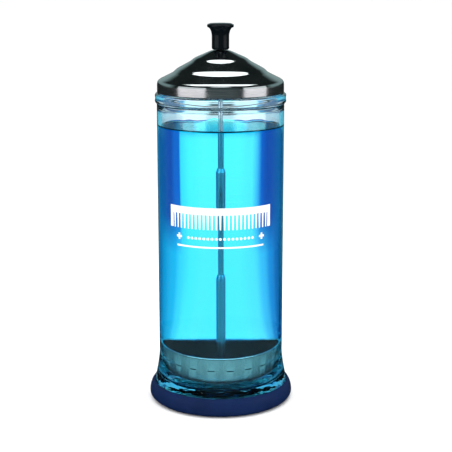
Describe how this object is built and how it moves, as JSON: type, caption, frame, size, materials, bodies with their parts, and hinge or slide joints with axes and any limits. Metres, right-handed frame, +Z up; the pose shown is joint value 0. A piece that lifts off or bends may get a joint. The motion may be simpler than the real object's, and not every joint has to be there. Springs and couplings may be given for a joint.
{
  "type": "disinfectant jar",
  "caption": "Tall round glass jar in a rubber base, with a stepped metal lid whose knob, rod and shallow drain basket lift out to raise the tools from the liquid.",
  "frame": {"origin": "centre of the rubber base's flat underside, on the surface that the jar stands on", "axes": "+Z up along the jar's axis, -Y towards the front, which carries the printed motif"},
  "size_m": [0.1122, 0.1122, 0.2922],
  "materials": {
    "glass": "clear pressed glass, polished",
    "rubber_base": "navy, satin",
    "lid_metal": "dark polished sheet with a brushed skirt",
    "knob_plastic": "black, glossy",
    "insert_brass": "turned",
    "fittings": "stainless, plain",
    "rod_steel": "stainless, drawn",
    "basket_steel": "stainless, satin, dark inside"
  },
  "bodies": {
    "jar": {"rubber_base": "rubber_base", "glass_jar": "glass"},
    "lid": {"lid_shell": "lid_metal"},
    "lifter": {"knob": "knob_plastic", "knob_insert": "insert_brass", "lid_washer": "fittings", "lid_nut": "fittings", "rod_upper": "rod_steel", "rod_coupling": "rod_steel", "rod_lower": "rod_steel", "basket_stem": "rod_steel", "basket_cup": "basket_steel", "basket_washer": "fittings", "basket_nut": "fittings"}
  },
  "joints": [
    {"name": "lid_lift", "type": "slide", "parent": "jar", "child": "lid", "axis": [0, 0, 1], "range_m": [0, 0.25]},
    {"name": "basket_turn", "type": "hinge", "parent": "lid", "child": "lifter", "pos_m": [0, 0, 0.2721], "axis": [0, 0, 1], "continuous": true}
  ]
}
